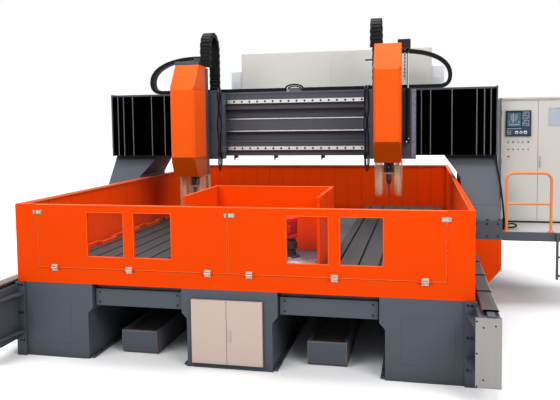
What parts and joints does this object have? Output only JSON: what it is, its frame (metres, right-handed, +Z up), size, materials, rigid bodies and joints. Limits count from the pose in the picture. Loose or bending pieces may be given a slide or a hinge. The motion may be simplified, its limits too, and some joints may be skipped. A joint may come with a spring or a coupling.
{
  "type": "cnc plate drilling machine",
  "caption": "Travelling gantry plate drilling machine with drilling heads over a guarded tub with T-slot tables.",
  "frame": {"origin": "on the floor under the middle of the centre base block, halfway along the tub", "axes": "+Z up, -Y towards the operator's side with the drop-down doors, +X towards the platform with the control cabinet"},
  "size_m": [7.7153, 9.115, 4.316],
  "materials": {
    "grey_paint": "satin",
    "orange_paint": "satin",
    "beige_paint": "satin",
    "steel": "brushed",
    "iron": "ground",
    "black": "matt",
    "clear": "clear"
  },
  "bodies": {
    "base": {"left_base_block": "grey_paint", "middle_base_block": "grey_paint", "right_base_block": "grey_paint", "tub_floor": "grey_paint", "left_work_table": "iron", "right_work_table": "iron", "front_panel_frame": "orange_paint", "left_guard_wall": "orange_paint", "right_guard_wall": "orange_paint", "back_guard_wall": "orange_paint", "inner_fence": "orange_paint", "left_chip_conveyor": "grey_paint", "right_chip_conveyor": "grey_paint", "low_cabinet_box": "beige_paint", "left_side_bed": "grey_paint", "right_side_bed": "grey_paint", "left_front_way_cover": "steel", "right_front_way_cover": "steel", "left_back_way_cover": "steel", "right_back_way_cover": "steel"},
    "gantry": {"left_leg": "grey_paint", "right_leg": "grey_paint", "left_drive_guard": "orange_paint", "right_drive_guard": "orange_paint", "cross_beam": "grey_paint", "rear_electrical_cabinet": "beige_paint", "operator_platform": "grey_paint", "platform_ladder": "grey_paint", "platform_handrail": "orange_paint", "control_cabinet": "beige_paint", "beam_end_cable": "black", "cable_gland": "black", "left_beam_chain": "black", "right_beam_chain": "black", "left_bellows": "black", "right_bellows": "black"},
    "left_head": {"left_saddle": "grey_paint", "left_ram_chain": "black"},
    "right_head": {"right_saddle": "grey_paint", "right_ram_chain": "black"},
    "left_ram": {"left_ram_cover": "orange_paint", "left_ram_slide": "grey_paint", "left_spindle_guard": "clear"},
    "right_ram": {"right_ram_cover": "orange_paint", "right_ram_slide": "grey_paint", "right_spindle_guard": "clear"},
    "left_tool": {"left_spindle": "steel"},
    "right_tool": {"right_spindle": "steel"},
    "left_flap": {"left_front_door": "orange_paint", "left_door_window": "clear"},
    "right_flap": {"right_front_door": "orange_paint", "right_door_window": "clear"},
    "low_cabinet_left_leaf": {"low_cabinet_left_door": "beige_paint"},
    "low_cabinet_right_leaf": {"low_cabinet_right_door": "beige_paint"},
    "control_cabinet_left_leaf": {"control_cabinet_left_door": "beige_paint"},
    "control_cabinet_right_leaf": {"control_cabinet_right_door": "beige_paint"}
  },
  "joints": [
    {"name": "gantry_travel", "type": "slide", "parent": "base", "child": "gantry", "axis": [0, 1, 0], "range_m": [-2.3, 2.2], "deforming": ["left_front_way_cover", "right_front_way_cover", "left_back_way_cover", "right_back_way_cover"]},
    {"name": "left_saddle_travel", "type": "slide", "parent": "gantry", "child": "left_head", "axis": [1, 0, 0], "range_m": [-0.75, 1], "deforming": ["left_bellows", "left_beam_chain"]},
    {"name": "right_saddle_travel", "type": "slide", "parent": "gantry", "child": "right_head", "axis": [-1, 0, 0], "range_m": [-0.75, 1], "deforming": ["right_bellows", "right_beam_chain"]},
    {"name": "left_ram_travel", "type": "slide", "parent": "left_head", "child": "left_ram", "axis": [0, 0, 1], "range_m": [-0.29, 0.47], "deforming": ["left_ram_chain"]},
    {"name": "right_ram_travel", "type": "slide", "parent": "right_head", "child": "right_ram", "axis": [0, 0, 1], "range_m": [-0.51, 0.25], "deforming": ["right_ram_chain"]},
    {"name": "left_spindle_turn", "type": "hinge", "parent": "left_ram", "child": "left_tool", "pos_m": [-1.53, -0.165, 1.8], "axis": [0, 0, 1], "continuous": true},
    {"name": "right_spindle_turn", "type": "hinge", "parent": "right_ram", "child": "right_tool", "pos_m": [1.585, -0.165, 2], "axis": [0, 0, 1], "continuous": true},
    {"name": "left_flap_hinge", "type": "hinge", "parent": "base", "child": "left_flap", "pos_m": [-1.165, -3.557, 1.0635], "axis": [-1, 0, 0], "range_deg": [-165, 0]},
    {"name": "right_flap_hinge", "type": "hinge", "parent": "base", "child": "right_flap", "pos_m": [1.165, -3.557, 1.0635], "axis": [-1, 0, 0], "range_deg": [-165, 0]},
    {"name": "low_cabinet_left_hinge", "type": "hinge", "parent": "base", "child": "low_cabinet_left_leaf", "pos_m": [-0.425, -3.5573, 0.4175], "axis": [0, 0, -1], "range_deg": [0, 100]},
    {"name": "low_cabinet_right_hinge", "type": "hinge", "parent": "base", "child": "low_cabinet_right_leaf", "pos_m": [0.385, -3.5573, 0.4175], "axis": [0, 0, 1], "range_deg": [0, 100]},
    {"name": "control_cabinet_left_hinge", "type": "hinge", "parent": "gantry", "child": "control_cabinet_left_leaf", "pos_m": [3.3, 0.6547, 2.06], "axis": [0, 0, -1], "range_deg": [0, 90]},
    {"name": "control_cabinet_right_hinge", "type": "hinge", "parent": "gantry", "child": "control_cabinet_right_leaf", "pos_m": [4.39, 0.6547, 2.06], "axis": [0, 0, 1], "range_deg": [0, 100]}
  ]
}
